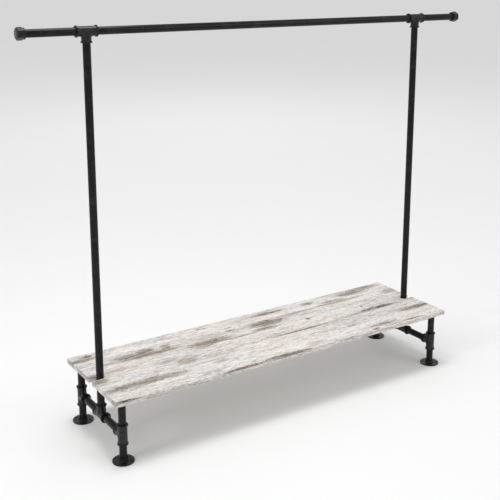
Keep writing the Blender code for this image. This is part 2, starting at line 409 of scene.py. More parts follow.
def joined_walls(tree, corners, sides):
    """Closed turned surface through (radius, height, rings to here) corners, welded."""
    join = tree.nodes.new("GeometryNodeJoinGeometry")
    for start, end in zip(corners, corners[1:] + corners[:1]):
        values = dict(zip(WALL_INPUTS, (*start[:2], *end, sides)))
        wall = use_group(tree, shared("Wall ring", wall_ring_tree), values)
        tree.links.new(wall[0], join.inputs[0])
    inputs = {"Geometry": join.outputs[0], "Distance": WELD_DISTANCE}
    return add_node(tree, "GeometryNodeMergeByDistance", inputs)[0]


def threaded_pipe_tree(name):
    """Geometry tree: a pipe along +Z from the origin, with a thread cut into each end."""
    inputs = {"Length": 0.1, "Radius": 0.01345, "Bore": 0.0108, "Chamfer": 0.0007}
    inputs |= {"Start thread": 0.015, "End thread": 0.015, "Pitch": 0.0018, "Depth": 0.0009}
    inputs |= {"Thread rings": 70, "Middle rings": 4, "Sides": 48, "Material": None}
    tree, given, result = new_group(name, "GeometryNodeTree", inputs, {"Pipe": "NodeSocketGeometry"})
    length, radius, bore, chamfer = (given[label] for label in ("Length", "Radius", "Bore", "Chamfer"))
    rings = given["Thread rings"]
    inner = minus(tree, radius, chamfer)
    bore_lip = plus(tree, bore, chamfer)
    below_top = minus(tree, length, chamfer)
    start_zone = larger(tree, given["Start thread"], LEAST_THREAD_ZONE)
    end_zone = larger(tree, given["End thread"], LEAST_THREAD_ZONE)
    corners = [
        (inner, length, 1),
        (radius, below_top, 1),
        (radius, minus(tree, length, end_zone), rings),
        (radius, start_zone, given["Middle rings"]),
        (radius, chamfer, rings),
        (inner, 0.0, 1),
        (bore_lip, 0.0, 1),
        (bore, chamfer, 1),
        (bore, below_top, 1),
        (bore_lip, length, 1),
    ]
    solid = joined_walls(tree, corners, given["Sides"])
    cut = add_node(tree, "GeometryNodeSetPosition", {"Geometry": solid, "Offset": thread_offset(tree, given)})
    end_tree(tree, cut[0], given["Material"], result["Pipe"])
    return tree


def end_tree(tree, geometry, material, result):
    """Makes instances real and gives the geometry its material, last of all."""
    real = add_node(tree, "GeometryNodeRealizeInstances", {"Geometry": geometry})
    dressed = add_node(tree, "GeometryNodeSetMaterial", {"Geometry": real[0], "Material": material})
    tree.links.new(dressed[0], result)


def thread_offset(tree, given):
    """Inward offset of a V thread that fades out where it ends on the pipe."""
    x, y, z = axes(tree, point_position(tree))
    start = thread_share(tree, z, given["Start thread"], given["Pitch"])
    end = thread_share(tree, minus(tree, given["Length"], z), given["End thread"], given["Pitch"])
    turn = over(tree, maths("ARCTAN2", tree, y, x), math.tau)
    phase = maths("FRACT", tree, minus(tree, over(tree, z, given["Pitch"]), turn))
    wave = maths("ABSOLUTE", tree, times_plus(tree, phase, 2.0, -1.0))
    from_axis = maths("SQRT", tree, plus(tree, times(tree, x, x), times(tree, y, y)))
    middle = times(tree, plus(tree, given["Radius"], given["Bore"]), 0.5)
    outside = maths("GREATER_THAN", tree, from_axis, middle)
    depth = times(tree, times(tree, wave, larger(tree, start, end)), given["Depth"])
    inward = over(tree, times(tree, depth, outside), times(tree, from_axis, -1.0))
    inputs = {0: joined_axes(tree, x, y), "Scale": inward}
    return add_node(tree, "ShaderNodeVectorMath", inputs, operation="SCALE")[0]


def thread_share(tree, distance, threaded, pitch):
    """1 well inside the threaded length, falling to 0 at its end."""
    left = over(tree, minus(tree, threaded, distance), times(tree, pitch, RUN_OUT_TURNS))
    return times(tree, left, 1.0, clamp=True)


def screw_hole_tree(name):
    """Geometry tree: countersunk cutters repeated round a circle."""
    inputs = {"Count": 4, "Circle": 0.028, "Hole": 0.0033, "Countersink": 0.0048, "Thickness": 0.005}
    inputs |= {"First hole": math.radians(45), "Material": None}
    tree, given, result = new_group(name, "GeometryNodeTree", inputs, {"Cutters": "NodeSocketGeometry"})
    hole, wide, thick = (given[label] for label in ("Hole", "Countersink", "Thickness"))
    above = plus(tree, thick, OVERSHOOT)
    depth = minus(tree, thick, minus(tree, wide, hole))
    corners = [(0.0, above, 1), (plus(tree, wide, OVERSHOOT), above, 1), (hole, depth, 1)]
    corners += [(hole, -OVERSHOOT, 1), (0.0, -OVERSHOOT, 1)]
    cutter = joined_walls(tree, corners, 32)
    circle = add_node(tree, "GeometryNodeMeshCircle", {"Vertices": given["Count"], "Radius": given["Circle"]})
    copies = add_node(tree, "GeometryNodeInstanceOnPoints", {"Points": circle[0], "Instance": cutter})
    spin = joined_axes(tree, 0.0, 0.0, given["First hole"])
    turned = add_node(tree, "GeometryNodeTransform", {"Geometry": copies[0], "Rotation": spin})
    end_tree(tree, turned[0], given["Material"], result["Cutters"])
    return tree


# ---------------- shader groups


GRAIN_INPUTS = ("Streak length", "Streak width", "Offset", "Detail", "Waver")
PATCH_INPUTS = ("Along", "Across", "Half length", "Half width", "Ragged")


def noise_at(tree, place, scale, detail, roughness):
    inputs = {"Vector": place, "Scale": scale, "Detail": detail, "Roughness": roughness, "Distortion": 0.0}
    return add_node(tree, "ShaderNodeTexNoise", inputs)[0]


def ramp(tree, value, low, high, to_low=0.0, to_high=1.0):
    """Smooth step of a value from low to high."""
    inputs = {"Value": value, "From Min": low, "From Max": high, "To Min": to_low, "To Max": to_high}
    return add_node(tree, "ShaderNodeMapRange", inputs, interpolation_type="SMOOTHSTEP")[0]


def mixed_colour(tree, share, first, second, blend_type="MIX"):
    inputs = {0: share, 6: first, 7: second}
    return add_node(tree, "ShaderNodeMix", inputs, data_type="RGBA", blend_type=blend_type)[2]


def iron_skin_group(name):
    """Shader group: mottled, lightly scuffed black skin of pipe and cast iron."""
    inputs = {"Skin colour": (0.02, 0.02, 0.02, 1.0), "Scuff colour": (0.05, 0.05, 0.05, 1.0)}
    inputs |= {"Mottle size": 0.03, "Scuff amount": 0.5, "Grain size": 0.0015}
    inputs |= {"Smoothest": 0.30, "Roughest": 0.55}
    outputs = {"Colour": "NodeSocketColor", "Roughness": "NodeSocketFloat", "Height": "NodeSocketFloat"}
    tree, given, result = new_group(name, "ShaderNodeTree", inputs, outputs)
    place = object_place(tree)
    mottle = noise_at(tree, place, over(tree, 1.0, given["Mottle size"]), 5.0, 0.62)
    speck = noise_at(tree, place, over(tree, 6.0, given["Mottle size"]), 3.0, 0.6)
    grain = noise_at(tree, place, over(tree, 1.0, given["Grain size"]), 2.0, 0.5)
    flaked = times_plus(tree, ramp(tree, speck, 0.50, 0.68), 0.6, 0.4)
    scuff = times(tree, flaked, ramp(tree, mottle, 0.46, 0.66))
    scuff = times(tree, scuff, given["Scuff amount"], clamp=True)
    colour = mixed_colour(tree, scuff, given["Skin colour"], given["Scuff colour"])
    rough = blend_values(tree, ramp(tree, mottle, 0.35, 0.7), given["Smoothest"], given["Roughest"])
    height = times_plus(tree, mottle, 0.35, times(tree, grain, 0.65))
    feed(tree, result, {"Colour": colour, "Roughness": rough, "Height": height})
    return tree


def grain_group(name):
    """Shader group: streaks drawn out along the board, from fine fibres to broad bands."""
    inputs = dict(zip(GRAIN_INPUTS, (0.2, 0.01, 0.0, 4.0, 0.004)))
    tree, given, result = new_group(name, "ShaderNodeTree", inputs, {"Streaks": "NodeSocketFloat"})
    place = object_place(tree)
    x, y, z = axes(tree, place)
    drift = minus(tree, noise_at(tree, place, 7.0, 2.0, 0.5), 0.5)
    along = over(tree, x, given["Streak length"])
    across = over(tree, times_plus(tree, drift, given["Waver"], y), given["Streak width"])
    up = plus(tree, over(tree, z, given["Streak width"]), given["Offset"])
    drawn_out = noise_at(tree, joined_axes(tree, along, across, up), 1.0, given["Detail"], 0.6)
    feed(tree, result, {"Streaks": drawn_out})
    return tree


def worn_patch_group(name):
    """Shader group: 1 in a long worn patch of the board, 0 outside it, with a ragged edge."""
    inputs = dict(zip(PATCH_INPUTS, (0.0, 0.0, 0.1, 0.01, 0.0)))
    tree, given, result = new_group(name, "ShaderNodeTree", inputs, {"Patch": "NodeSocketFloat"})
    x, y, _ = axes(tree, object_place(tree))
    x = over(tree, minus(tree, x, given["Along"]), given["Half length"])
    y = over(tree, minus(tree, y, given["Across"]), given["Half width"])
    square = plus(tree, times(tree, x, x), times(tree, y, y))
    reach = plus(tree, square, given["Ragged"])
    feed(tree, result, {"Patch": ramp(tree, reach, 1.25, 0.70)})
    return tree


# ---------------- materials


# Light that iron reflects under its coat of lacquer, and the darker colour and lower roughness that the
# collars are given.
UNDER_COAT = 0.06
COLLAR_COLOUR = (0.0025, 0.0025, 0.0025)
COLLAR_ROUGHNESS = -0.14


def new_material(name):
    """A material, its node tree, and the inputs of its shader."""
    material = bpy.data.materials.new(name)
    material.use_nodes = True
    tree = material.node_tree
    return material, tree, tree.nodes["Principled BSDF"].inputs


def solid(colour):
    return (*colour, 1.0)


def bumped(tree, height, depth):
    """Normal of a bump of the given depth in metres."""
    inputs = {"Height": height, "Distance": depth, "Strength": 1.0}
    return add_node(tree, "ShaderNodeBump", inputs)[0]


def iron_material(name, settings, look, depth, gloss, gloss_roughness, collars=False):
    """Black iron under a thin coat of lacquer. The look holds inputs of the skin group."""
    material, tree, shader = new_material(name)
    inputs = {"Skin colour": solid(settings.colour), "Scuff colour": solid(settings.scuff), **look}
    skin = use_group(tree, shared("Iron skin", iron_skin_group), inputs)
    colour, roughness = skin["Colour"], skin["Roughness"]
    if collars:
        collar = add_node(tree, "ShaderNodeAttribute", {}, attribute_name="collar")["Fac"]
        colour = mixed_colour(tree, collar, colour, solid(COLLAR_COLOUR))
        roughness = times_plus(tree, collar, COLLAR_ROUGHNESS, roughness)
    surface = {
        "Base Color": colour,
        "Roughness": roughness,
        "Metallic": 0.0,
        "Specular IOR Level": UNDER_COAT,
        "Coat Weight": gloss,
        "Coat Roughness": gloss_roughness,
        "Normal": bumped(tree, skin["Height"], depth),
    }
    feed(tree, shader, surface)
    return material


# Worn places of the board: along, across, half length, half width and strength, in metres.
BROWN_PATCHES = (
    (-0.715, 0.162, 0.050, 0.012, 0.9),
    (-0.690, 0.184, 0.022, 0.010, 0.9),
    (-0.490, 0.078, 0.100, 0.013, 1.0),
    (-0.560, 0.098, 0.050, 0.018, 0.9),
    (-0.488, 0.112, 0.030, 0.018, 1.0),
    (-0.640, 0.082, 0.040, 0.008, 0.5),
    (-0.400, 0.116, 0.018, 0.009, 0.9),
    (-0.402, 0.094, 0.016, 0.010, 0.9),
    (-0.235, 0.052, 0.090, 0.017, 1.0),
    (-0.275, 0.028, 0.040, 0.010, 0.6),
    (-0.080, 0.034, 0.130, 0.006, 0.7),
    (0.022, 0.046, 0.050, 0.011, 0.9),
    (0.060, 0.090, 0.072, 0.023, 1.0),
    (0.215, 0.115, 0.110, 0.008, 0.6),
    (0.112, 0.176, 0.075, 0.009, 1.0),
    (0.316, 0.171, 0.026, 0.014, 0.8),
    (0.425, 0.138, 0.055, 0.010, 0.8),
    (0.455, 0.117, 0.105, 0.009, 0.8),
    (0.560, 0.172, 0.075, 0.020, 0.9),
    (0.650, 0.188, 0.060, 0.014, 0.8),
    (0.725, 0.102, 0.045, 0.020, 0.7),
    (0.548, -0.025, 0.085, 0.010, 0.9),
    (0.430, -0.036, 0.090, 0.006, 0.6),
    (0.120, -0.047, 0.125, 0.006, 0.7),
    (-0.605, -0.119, 0.125, 0.018, 1.0),
    (-0.480, -0.128, 0.045, 0.014, 0.6),
    (-0.740, 0.008, 0.026, 0.020, 0.9),
    (-0.735, -0.036, 0.030, 0.014, 0.8),
    (-0.395, -0.046, 0.034, 0.026, 0.6),
    (-0.465, -0.016, 0.045, 0.012, 0.5),
    (-0.655, 0.022, 0.060, 0.010, 0.4),
    (-0.290, -0.120, 0.030, 0.010, 0.5),
    (0.690, -0.108, 0.085, 0.014, 1.0),
    (0.445, -0.176, 0.055, 0.013, 0.7),
    (0.105, -0.172, 0.040, 0.010, 0.5),
    (-0.070, -0.205, 0.085, 0.009, 1.0),
    (-0.245, -0.211, 0.070, 0.008, 0.9),
    (-0.705, -0.211, 0.045, 0.006, 0.6),
)
DARK_MARKS = (
    (0.130, -0.046, 0.115, 0.0040, 0.6),
    (0.570, -0.027, 0.030, 0.0080, 1.0),
    (0.500, -0.022, 0.060, 0.0035, 0.7),
    (0.221, 0.033, 0.007, 0.0090, 1.1),
    (0.494, 0.020, 0.006, 0.0055, 1.0),
    (0.328, -0.123, 0.026, 0.0040, 0.8),
    (0.112, 0.171, 0.070, 0.0040, 0.8),
    (-0.113, 0.104, 0.016, 0.0050, 0.8),
    (-0.108, 0.130, 0.018, 0.0035, 0.7),
    (-0.215, 0.186, 0.006, 0.0060, 0.7),
    (-0.190, 0.178, 0.007, 0.0060, 0.7),
    (0.020, 0.047, 0.035, 0.0040, 0.6),
    (0.350, 0.122, 0.022, 0.0045, 0.7),
    (-0.330, -0.096, 0.110, 0.0030, 0.5),
    (0.386, -0.201, 0.018, 0.0040, 1.1),
    (0.587, -0.199, 0.048, 0.0045, 1.1),
    (0.480, -0.202, 0.040, 0.0030, 0.8),
    (-0.725, -0.2095, 0.032, 0.0040, 1.1),
    (-0.080, -0.2040, 0.070, 0.0035, 0.6),
    (-0.250, -0.2095, 0.080, 0.0035, 0.5),
    (0.010, -0.2095, 0.040, 0.0035, 0.6),
)

# Layers of grain: streak length and width, place in the noise, detail and waver.
GRAIN_LAYERS = {
    "bands": (0.50, 0.060, 1.3, 2.0, 0.05),
    "strands": (0.16, 0.0140, 2.6, 5.0, 0.03),
    "fibres": (0.055, 0.0055, 4.1, 5.0, 0.02),
    "flecks": (0.018, 0.0044, 7.7, 4.0, 0.02),
    "scores": (0.046, 0.0062, 21.4, 4.0, 0.02),
    "hairs": (0.110, 0.0018, 12.9, 3.0, 0.02),
    "specks": (0.0120, 0.0042, 40.2, 3.0, 0.02),
    "tints": (0.30, 0.090, 33.0, 2.0, 0.05),
    "strays": (0.055, 0.0060, 15.2, 4.0, 0.03),
}
# How much each layer counts in the thin places of the wash, and in the ragged edges of worn patches.
WASH_WEIGHTS = {"bands": 0.18, "strands": 0.16, "fibres": 0.26, "flecks": 0.26, "hairs": 0.18, "specks": 0.24}
RAGGED_WEIGHTS = {"fibres": 4.0, "flecks": 5.5, "hairs": 3.5, "specks": 6.0}
RAGGED_START = -9.5

# Tints that the white and the brown are multiplied by.
COOL = (0.978, 0.988, 1.000)
WARM = (1.006, 0.974, 0.944)
OLIVE = (1.10, 1.12, 0.95)

# How far from the board's ends bare end grain starts and is full, and below its top patches end and start.
END_GRAIN = (0.0016, 0.0004)
PATCH_FADE = (0.0085, 0.0030)
WASH_BUMP = 0.0006


def patches_mask(tree, patches, ragged):
    """The strongest of all the patches at each point."""
    total = 0.0
    for *place, strength in patches:
        inputs = dict(zip(PATCH_INPUTS, (*place, ragged)))
        patch = use_group(tree, shared("Worn patch", worn_patch_group), inputs)
        total = larger(tree, total, times(tree, patch[0], strength))
    return total


def grain_layers(tree):
    """Every layer of grain by its name."""
    layers = {}
    for name, values in GRAIN_LAYERS.items():
        group = shared("Board grain", grain_group)
        layers[name] = use_group(tree, group, dict(zip(GRAIN_INPUTS, values)))[0]
    return layers


def tinted(tree, colour, tint):
    return mixed_colour(tree, 1.0, solid(colour), solid(tint), "MULTIPLY")


def board_material(settings):
    """White wash over grain, rubbed through to brown wood in long patches, with dark cracks."""
    material, tree, shader = new_material("White-washed board")
    layers = grain_layers(tree)
    ragged = weighted_sum(tree, layers, RAGGED_WEIGHTS, RAGGED_START)
    on_top = top_share(tree)
    patch = times(tree, patches_mask(tree, BROWN_PATCHES, ragged), on_top)
    worn = times(tree, patch, ramp(tree, layers["hairs"], 0.40, 0.62, 0.92, 0.55))
    brown_share = larger(tree, worn, larger(tree, stray_wear(tree, layers), end_wear(tree, layers["flecks"])))
    marks = times(tree, patches_mask(tree, DARK_MARKS, ragged), on_top)
    deep = times(tree, patch, ramp(tree, layers["scores"], 0.53, 0.59))
    dark_share = larger(tree, times(tree, marks, 0.85), times(tree, deep, 0.72))
    raised = times_plus(tree, layers["fibres"], 0.5, times(tree, layers["flecks"], 0.4))
    sunk = times_plus(tree, dark_share, 0.9, times(tree, brown_share, 0.5))
    surface = {
        "Base Color": board_colour(tree, settings, layers, brown_share, dark_share),
        "Roughness": ramp(tree, brown_share, 0.0, 1.0, 0.55, 0.80),
        "Specular IOR Level": 0.25,
        "Normal": bumped(tree, minus(tree, raised, sunk), WASH_BUMP),
    }
    feed(tree, shader, surface)
    return material


def board_colour(tree, settings, layers, brown_share, dark_share):
    """The wash and the wood in streaks of two tints each, and the dark cracks over both."""
    cool, warm = (tinted(tree, settings.white, tint) for tint in (COOL, WARM))
    wash = mixed_colour(tree, ramp(tree, layers["tints"], 0.40, 0.60), cool, warm)
    rubbed = ramp(tree, weighted_sum(tree, layers, WASH_WEIGHTS), 0.562, 0.780)
    wash = mixed_colour(tree, rubbed, wash, solid(settings.grey))
    olive = tinted(tree, settings.brown, OLIVE)
    wood = mixed_colour(tree, ramp(tree, layers["strands"], 0.40, 0.60), solid(settings.brown), olive)
    colour = mixed_colour(tree, brown_share, wash, wood)
    return mixed_colour(tree, dark_share, colour, solid(settings.crack))


def stray_wear(tree, layers):
    """Short worn streaks scattered over the whole board."""
    lines = ramp(tree, layers["strays"], 0.58, 0.66)
    return times(tree, times(tree, lines, ramp(tree, layers["flecks"], 0.46, 0.56)), 0.62)


def end_wear(tree, flecks):
    """Bare end grain on the two sawn ends."""
    place = object_place(tree)
    along = maths("ABSOLUTE", tree, axes(tree, place)["X"])
    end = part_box(BOARD)[1].x
    sawn = ramp(tree, along, *(end - inset for inset in END_GRAIN))
    bare = ramp(tree, noise_at(tree, place, 9.0, 3.0, 0.6), 0.40, 0.60)
    broken = times_plus(tree, ramp(tree, flecks, 0.35, 0.60), 0.5, 0.3)
    return times(tree, times(tree, sawn, bare), broken)


def top_share(tree):
    """1 on the board's top, fading to 0 a little way down its edges."""
    height = axes(tree, object_place(tree))["Z"]
    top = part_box(BOARD)[1].z
    return ramp(tree, height, *(top - drop for drop in PATCH_FADE))


# ---------------- pipes


RINGS_PER_TURN = 7
RING_SPACING = 0.05
PIPE_LOOK = {
    "Mottle size": 0.028,
    "Scuff amount": 0.60,
    "Grain size": 0.0011,
    "Smoothest": 0.26,
    "Roughest": 0.46,
}


def box_facts(node):
    """Low corner, high corner and middle of a CAD node."""
    low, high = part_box(node)
    return low, high, (low + high) / 2


def pipe_facts(node):
    """Start point, direction, length and radius of a CAD pipe."""
    low, high, middle = box_facts(node)
    size = high - low
    axis = max(range(3), key=lambda index: size[index])
    direction = Vector((0.0, 0.0, 0.0))
    direction[axis] = 1.0
    return middle - direction * size[axis] / 2, direction, size[axis], min(size) / 2


def hidden_lengths(node):
    """How much of a pipe's start and end is screwed into its fittings, None where it has no thread."""
    if node.startswith("leg_upper"):
        return IN_TEE, None
    if node.startswith("leg_lower"):
        return IN_FLANGE, IN_TEE
    if node == "rail_nipple_left":
        return IN_CAP, IN_TEE
    if node == "rail_nipple_right":
        return IN_TEE, IN_CAP
    return IN_TEE, IN_TEE


class RACK_OT_pipes(bpy.types.Operator):
    """Build every screwed pipe of the rack"""

    bl_idname = "rack.pipes"
    bl_label = "Pipes"

    def execute(self, context):
        settings = context.scene.rack_pipes
        tree = threaded_pipe_tree("Threaded pipe")
        material = iron_material(
            "Black pipe", settings, PIPE_LOOK, depth=0.00012, gloss=0.30, gloss_roughness=0.13
        )
        for node in PIPES:
            mesh = pipe_mesh(node, tree, settings, material)
            finish_piece(f"{node}_tube", mesh, node)
        return {"FINISHED"}


def pipe_mesh(node, tree, settings, material):
    start, direction, length, radius = pipe_facts(node)
    threads = [0.0 if hidden is None else hidden + settings.shown for hidden in hidden_lengths(node)]
    values = {
        "Length": length,
        "Radius": radius,
        "Start thread": threads[0],
        "End thread": threads[1],
        "Pitch": settings.pitch,
        "Depth": settings.depth,
        "Thread rings": round(max(threads) / settings.pitch * RINGS_PER_TURN),
        "Middle rings": max(2, round(length / RING_SPACING)),
        "Sides": settings.sides,
        "Material": material,
    }
    mesh = made_by_nodes(node, tree, values)
    side = (0, 0, 1) if direction.z < 0.5 else (1, 0, 0)
    mesh.transform(Matrix.Translation(start) @ turn_to(direction, side))
    smooth_round(mesh, 60)
    return mesh


# ---------------- tees


FITTING_LOOK = {
    "Mottle size": 0.014,
    "Scuff amount": 0.60,
    "Grain size": 0.0008,
    "Smoothest": 0.30,
    "Roughest": 0.52,
}

# Tee, from its centre: reach of each end, radius of collar and body, the collar's width and its inner round.
# Then its sockets and core, and how far their cutters stand out of its ends.
TEE_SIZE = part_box(TEES[-1])[1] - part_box(TEES[-1])[0]
TEE_REACH = TEE_SIZE.z / 2
TEE_COLLAR = TEE_SIZE.x / 2
TEE_BODY = 0.0168
TEE_COLLAR_WIDTH = 0.0055
TEE_LIP = 0.0012
SOCKET_RADIUS = 0.01375
SOCKET_DEPTH = 0.0150
SOCKET_MOUTH = 0.0008
CORE_RADIUS = 0.0115
CLEARANCE = 0.005

# The body's rings, the part of the branch that is a hair narrower than the run, and the reach of the blend.
JUNCTION_START = 0.022
JUNCTION_STEP = 0.0011
NARROW_REACH = 0.025
NARROWER = 0.0001
BLEND_REACH = 0.028
BLEND_GROWTH = 0.010
BLEND_PASSES = 6


class RACK_OT_tees(bpy.types.Operator):
    """Build the cast tees with their beaded ends"""

    bl_idname = "rack.tees"
    bl_label = "Tees"

    def execute(self, context):
        settings = context.scene.rack_fittings
        tee = tee_mesh(settings)
        tee.materials.append(fitting_material(settings))
        for node in TEES:
            finish_casting(node, tee, tee_placement(node))
        return {"FINISHED"}


def fitting_material(settings):
    """The one blackened finish of tees, caps and flanges, made once."""
    name = "Black malleable iron"
    made = bpy.data.materials.get(name)
    return made or iron_material(name, settings, FITTING_LOOK, 0.00030, 0.55, 0.18, collars=True)


def finish_casting(node, pattern, placement):
    """A copy of the pattern, put in its place."""
    mesh = pattern.copy()
    mesh.transform(placement)
    finish_piece(f"{node}_casting", mesh, node)


def tee_end_outline(rounding):
    """From the axis over the end face, round the bead and down to the body."""
    back = TEE_REACH - TEE_COLLAR_WIDTH
    outline = [(0.0, TEE_REACH), (SOCKET_RADIUS, TEE_REACH)]
    outline += arc(TEE_COLLAR - rounding, TEE_REACH - rounding, rounding, 90, 0)
    outline += arc(TEE_COLLAR - rounding, back + rounding, rounding, 0, -90)
    return outline + arc(TEE_BODY + TEE_LIP, back - TEE_LIP, TEE_LIP, 90, 180)


def tee_mesh(settings):
    """A tee with its run along Z and its branch along +X."""
    steps = np.arange(JUNCTION_START, -JUNCTION_STEP / 2, -JUNCTION_STEP)
    half = tee_end_outline(settings.bead_round) + [(TEE_BODY, z) for z in steps]
    narrow = [(min(r, TEE_BODY - NARROWER) if z < NARROW_REACH else r, z) for r, z in half]
    run = turned_mesh("tee", mirrored_down(half), settings.sides)
    body = combined(run, [branch_mesh(narrow, settings.sides)], "UNION")
    set_coordinates(body, filleted(coordinates(body), settings.blend))
    mesh = combined(body, socket_cutters(settings.sides), "DIFFERENCE")
    x, _, z = coordinates(mesh).T
    from_end = TEE_REACH - np.maximum(np.abs(z), x)
    mark_collars(mesh, np.clip((TEE_COLLAR_WIDTH + 0.0008 - from_end) / 0.0005, 0.0, 1.0))
    smooth_round(mesh)
    return mesh


def branch_mesh(outline, sides):
    """A turned solid from the outline, which stops at the tee's centre, laid along +X."""
    branch = turned_mesh("tee_branch", outline + [(0.0, 0.0)], sides)
    branch.transform(turn_to((1, 0, 0), (0, 0, -1)))
    return branch


def filleted(points, blend):
    """Pushes points near the junction out onto a smooth blend of run and branch."""
    x, _, z = points.T
    near = (np.abs(z) < BLEND_REACH) & (x > 0.0) & (x < BLEND_REACH)
    moved = points.copy()
    for _ in range(BLEND_PASSES):
        level, slope = blended_distance(moved[near], blend)
        moved[near] -= slope * level[:, None]
    return moved


def soft_least(first, second, blend):
    """The smaller of two values, with a round corner where they meet."""
    overlap = np.clip(blend - np.abs(first - second), 0.0, None) / blend
    return np.minimum(first, second) - overlap**2 * blend / 4


def blended_distance(points, blend):
    """Distance from the smooth union of the run and the branch, and its direction."""

    def level(place):
        x, y, z = place.T
        reach = blend * np.clip(x / BLEND_GROWTH, 0.01, 1.0)
        return soft_least(np.hypot(x, y) - TEE_BODY, np.hypot(y, z) - TEE_BODY, reach)

    step = 1e-6
    here = level(points)
    slope = np.stack([(level(points + step * unit) - here) / step for unit in np.eye(3)], axis=1)
    slope /= np.maximum(np.linalg.norm(slope, axis=1, keepdims=True), 1e-9)
    return here, slope


def socket_cutters(sides):
    """Threaded sockets and cores, bored in from the three ends."""
    outside = TEE_REACH + CLEARANCE
    bottom = TEE_REACH - SOCKET_DEPTH
    outline = [
        (0.0, outside),
        (SOCKET_RADIUS + SOCKET_MOUTH + CLEARANCE, outside),
        (SOCKET_RADIUS, TEE_REACH - SOCKET_MOUTH),
        (SOCKET_RADIUS, bottom),
        (CORE_RADIUS, bottom),
        (CORE_RADIUS, 0.0),
    ]
    return [turned_mesh("run_bore", mirrored_down(outline), sides), branch_mesh(outline, sides)]


def tee_placement(node):
    """Moves a tee from the origin to the centre and directions of a CAD tee."""
    low, high, centre = box_facts(node)
    if node.startswith("rail"):
        centre.z = high.z - TEE_COLLAR
        turn = turn_to((1, 0, 0), (0, 0, -1))
    elif node.startswith("cross"):
        centre.z = low.z + TEE_COLLAR
        turn = turn_to((0, 1, 0), (0, 0, 1))
    else:
        front = "front" in node
        centre.y = low.y + TEE_COLLAR if front else high.y - TEE_COLLAR
        turn = turn_to((0, 0, 1), (0, 1 if front else -1, 0))
    return Matrix.Translation(centre) @ turn


# ---------------- caps


# Hexagon cap, from its closed end: lengths, width over flats, collar radius and socket depth.
CAP_LENGTH = 0.0270
CAP_FLATS = 0.0372
CAP_CORNER_SHARE = 0.985
CAP_COLLAR = 0.0186
CAP_SOCKET_DEPTH = 0.0180
CAP_FACE = 0.01756
CAP_FACE_SLOPE = 1.2
CAP_SHOULDER = (0.0172, -0.0204)
CAP_SHOULDER_SLOPE = 1.69
CAP_ROUNDING = 0.0010
CAP_CHAMFER = 0.0006

# Stretches of rings down its outside: first height, last height and count.
CAP_RINGS = (
    (-0.0004, -0.0044, 16),
    (-0.0050, -0.0140, 5),
    (-0.0145, -0.0215, 20),
    (-0.0230, -0.0260, 3),
    (-0.0262, -CAP_LENGTH, 5),
)


class RACK_OT_caps(bpy.types.Operator):
    """Build the two hexagon caps on the ends of the rail"""

    bl_idname = "rack.caps"
    bl_label = "Caps"

    def execute(self, context):
        settings = context.scene.rack_fittings
        cap = cap_mesh(settings)
        cap.materials.append(fitting_material(settings))
        for node in CAPS:
            low, high, middle = box_facts(node)
            outward = math.copysign(1.0, middle.x)
            end = Vector((outward * max(abs(low.x), abs(high.x)), 0.0, middle.z))
            finish_casting(node, cap, Matrix.Translation(end) @ turn_to((outward, 0, 0), (0, 0, 1)))
        return {"FINISHED"}


def cap_radius(angle, height):
    """Outer radius of the cap: hexagon, chamfered at both ends, joined to a round collar."""
    from_flat = np.mod(angle, math.pi / 3) - math.pi / 6
    corner = CAP_FLATS / math.sqrt(3)
    hexagon = soft_least(CAP_FLATS / 2 / np.cos(from_flat), corner * CAP_CORNER_SHARE, 0.0008)
    hexagon = soft_least(hexagon, CAP_FACE - CAP_FACE_SLOPE * height, 0.0007)
    shoulder = CAP_SHOULDER[0] + CAP_SHOULDER_SLOPE * (height - CAP_SHOULDER[1])
    hexagon = soft_least(hexagon, shoulder, 0.0008)
    into_end = np.clip((CAP_ROUNDING - CAP_LENGTH - height) / CAP_ROUNDING, 0.0, 1.0)
    collar = CAP_COLLAR - CAP_ROUNDING * (1.0 - np.sqrt(1.0 - into_end**2))
    collar = np.where(height < CAP_SHOULDER[1] + 0.006, collar, 0.0)
    return -soft_least(-hexagon, -collar, CAP_ROUNDING)


def cap_mesh(settings):
    """A hexagon cap along Z, closed at z = 0, with corners at +X and -X."""
    levels = [z for start, end, count in CAP_RINGS for z in np.linspace(start, end, count)]
    floor = CAP_SOCKET_DEPTH - CAP_LENGTH
    outline = [(0.0, 0.0), (CAP_FACE - CAP_CHAMFER, 0.0)] + [(CAP_COLLAR, z) for z in levels]
    outline += [(SOCKET_RADIUS + CAP_CHAMFER, -CAP_LENGTH), (SOCKET_RADIUS, CAP_CHAMFER - CAP_LENGTH)]
    outline += [(SOCKET_RADIUS, floor), (0.0, floor)]
    mesh = turned_mesh("cap", outline, settings.sides * 2)
    points = coordinates(mesh)
    x, y, z = points.T
    across = np.hypot(x, y)
    outer = across > CAP_COLLAR - 1e-5
    share = np.where(outer, cap_radius(np.arctan2(y, x), z) / np.maximum(across, 1e-9), 1.0)
    points[:, :2] *= share[:, None]
    set_coordinates(mesh, points)
    mark_collars(mesh, np.clip((-0.0205 - z) / 0.0010, 0.0, 1.0))
    smooth_round(mesh)
    return mesh


# ---------------- floor flanges


FLANGE_RADIUS = 0.0385
FLANGE_THICKNESS = 0.0050
FLANGE_HEIGHT = 0.0140
FLANGE_HUB = 0.0170
FLANGE_FILLET = 0.0030
FLANGE_CHAMFER = 0.0007


class RACK_OT_flanges(bpy.types.Operator):
    """Build the four floor flanges with their countersunk screw holes"""

    bl_idname = "rack.flanges"
    bl_label = "Floor flanges"

    def execute(self, context):
        settings = context.scene.rack_fittings
        flange = flange_mesh(settings, fitting_material(settings))
        for node in FLANGES:
            low, _, middle = box_facts(node)
            finish_casting(node, flange, Matrix.Translation((middle.x, middle.y, low.z)))
        return {"FINISHED"}


